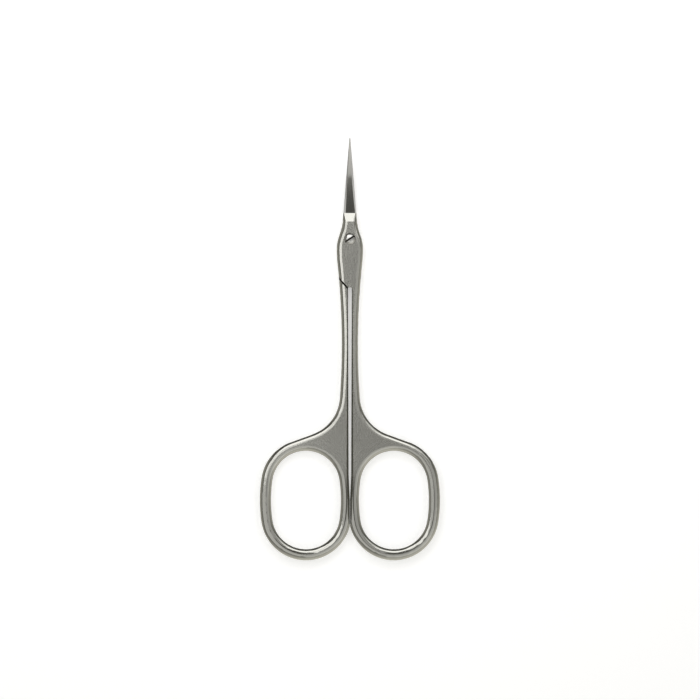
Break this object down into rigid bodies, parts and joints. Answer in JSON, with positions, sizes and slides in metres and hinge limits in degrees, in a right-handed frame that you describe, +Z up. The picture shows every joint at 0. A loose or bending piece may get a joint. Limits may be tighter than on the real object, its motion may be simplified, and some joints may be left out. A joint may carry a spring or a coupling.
{
  "type": "cuticle scissors",
  "caption": "Slim steel cuticle scissors with fine bent blades, a slotted pivot screw and oval finger rings.",
  "frame": {"origin": "middle of the closed scissors in plan, on the surface that they lie on", "axes": "+Y towards the blade points, +X towards the front half's finger ring, +Z up, towards the screw head"},
  "size_m": [0.0426, 0.1, 0.0068],
  "materials": {
    "satin_steel": "satin",
    "polished_steel": "polished"
  },
  "bodies": {
    "rear_half": {"rear_half": "satin_steel"},
    "front_half": {"front_half": "satin_steel"},
    "pivot_screw": {"pivot_screw": "polished_steel"}
  },
  "joints": [
    {"name": "blade_pivot", "type": "hinge", "parent": "rear_half", "child": "front_half", "pos_m": [0, 0.0261, 0.0016], "axis": [0, 0, 1], "range_deg": [0, 70]},
    {"name": "screw_turn", "type": "hinge", "parent": "rear_half", "child": "pivot_screw", "pos_m": [0, 0.0261, 0.0016], "axis": [0, 0, 1], "range_deg": [-45, 45]}
  ]
}
